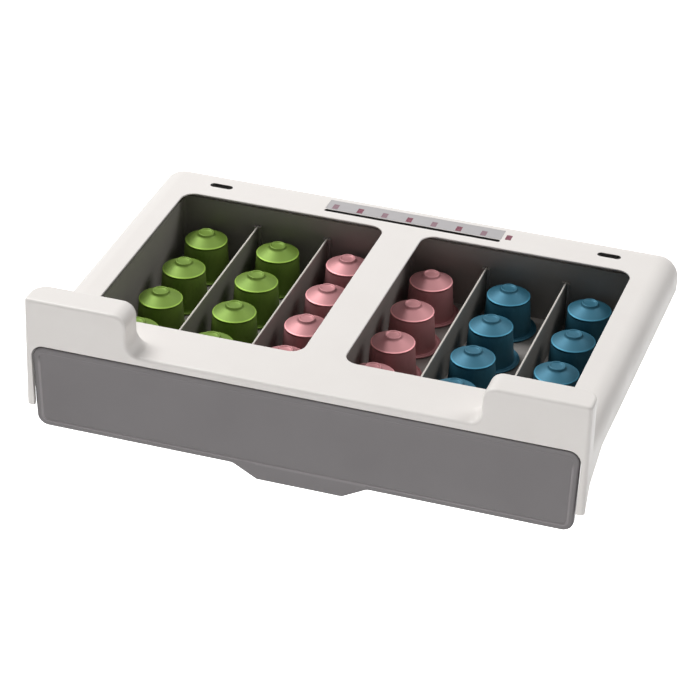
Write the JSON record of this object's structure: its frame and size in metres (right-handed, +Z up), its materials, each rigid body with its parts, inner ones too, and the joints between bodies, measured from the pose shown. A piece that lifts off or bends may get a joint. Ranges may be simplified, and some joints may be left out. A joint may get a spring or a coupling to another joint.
{
  "type": "coffee pod drawer",
  "caption": "White under-cabinet housing with windows in its deck and a grey slide-out drawer, divided lengthwise, that stores coffee pods upright in rows.",
  "frame": {"origin": "on the deck's flat top, midway across the housing and midway along its windows", "axes": "+X to the right across the drawer, +Y to the rear, +Z up out of the deck; the drawer opens towards -Y"},
  "size_m": [0.337, 0.2365, 0.0927],
  "materials": {
    "white_abs": "satin warm white moulded ABS",
    "runner_abs": "plain moulded",
    "zinc_steel": "zinc plated",
    "bumper_rubber": "matt",
    "acetal": "low friction",
    "smoke_strip": "frosted pale grey strip",
    "mark_ink": "printed marks",
    "tray_abs": "dark warm grey",
    "fascia_abs": "satin grey",
    "divider_abs": "dark grey sheet",
    "pod_green": "anodised green",
    "pod_pink": "anodised pink",
    "pod_blue": "anodised blue",
    "lid_foil": "plain foil"
  },
  "bodies": {
    "housing": {"top_frame": "white_abs", "left_rail": "runner_abs", "right_rail": "runner_abs", "rail_screws": "zinc_steel", "rear_bumpers": "bumper_rubber", "stop_clips": "acetal", "scale_strip": "smoke_strip", "scale_marks": "mark_ink"},
    "drawer": {"drawer_tray": "tray_abs", "fascia": "fascia_abs", "fascia_screws": "zinc_steel", "glide_pads": "acetal", "divider_1": "divider_abs", "divider_2": "divider_abs", "divider_3": "divider_abs", "divider_4": "divider_abs", "pods_col_1": "pod_green", "pods_col_2": "pod_green", "pods_col_3": "pod_pink", "pods_col_4": "pod_pink", "pods_col_5": "pod_blue", "pods_col_6": "pod_blue", "pod_lids_col_1": "lid_foil", "pod_lids_col_2": "lid_foil", "pod_lids_col_3": "lid_foil", "pod_lids_col_4": "lid_foil", "pod_lids_col_5": "lid_foil", "pod_lids_col_6": "lid_foil"}
  },
  "joints": [
    {"name": "drawer_slide", "type": "slide", "parent": "housing", "child": "drawer", "axis": [0, -1, 0], "range_m": [0, 0.15]}
  ]
}
